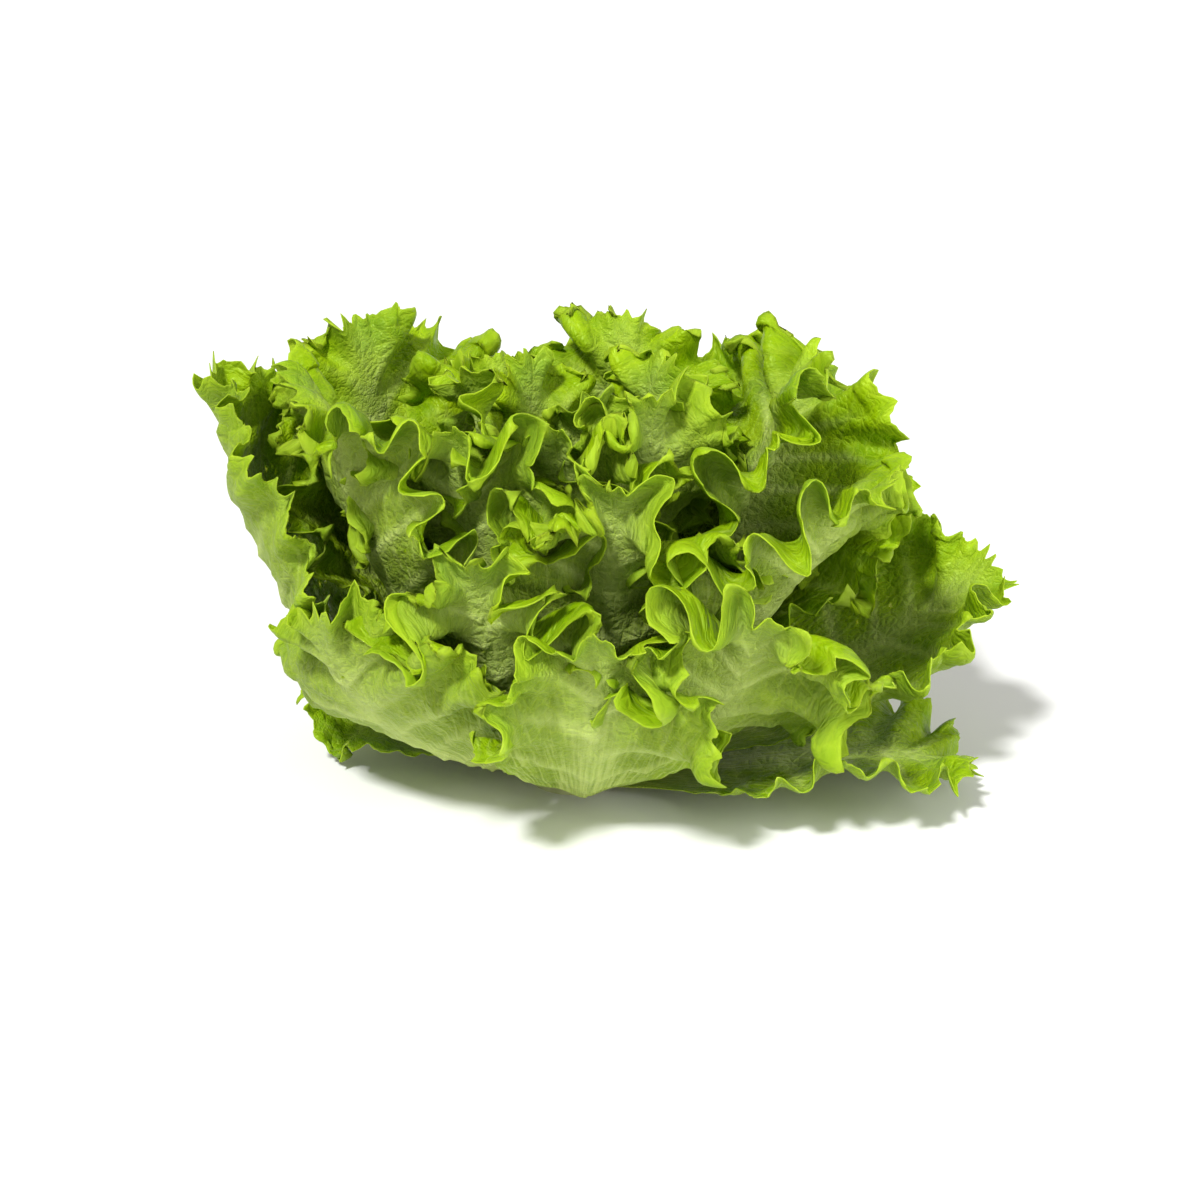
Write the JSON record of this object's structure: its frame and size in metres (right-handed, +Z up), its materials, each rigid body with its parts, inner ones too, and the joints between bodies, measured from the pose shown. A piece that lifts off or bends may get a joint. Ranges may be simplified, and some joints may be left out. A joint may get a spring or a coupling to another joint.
{
  "type": "lollo bionda lettuce",
  "caption": "Upright head of green frilled lettuce: a cone-shaped cut stem with nested curly leaves, the lowest lying out flat.",
  "frame": {"origin": "centre of the cut face of the stem, on which the head stands", "axes": "+Z up, +X to the right along the head's widest spread, -Y towards the front"},
  "size_m": [0.2512, 0.1543, 0.1406],
  "materials": {
    "outer_leaf": "satin",
    "middle_leaf": "satin",
    "heart_leaf": "satin",
    "stem": "matte"
  },
  "bodies": {
    "root": {"stem": "stem", "leaf_01": "outer_leaf", "leaf_02": "outer_leaf", "leaf_03": "outer_leaf", "leaf_04": "outer_leaf", "leaf_05": "outer_leaf", "leaf_06": "outer_leaf", "leaf_07": "outer_leaf", "leaf_08": "outer_leaf", "leaf_09": "middle_leaf", "leaf_10": "middle_leaf", "leaf_11": "middle_leaf", "leaf_12": "middle_leaf", "leaf_13": "middle_leaf", "leaf_14": "middle_leaf", "leaf_15": "middle_leaf", "leaf_16": "middle_leaf", "leaf_17": "middle_leaf", "leaf_18": "heart_leaf", "leaf_19": "heart_leaf", "leaf_20": "heart_leaf", "leaf_21": "heart_leaf", "leaf_22": "heart_leaf", "leaf_23": "heart_leaf", "leaf_24": "heart_leaf", "leaf_25": "heart_leaf"}
  },
  "joints": []
}
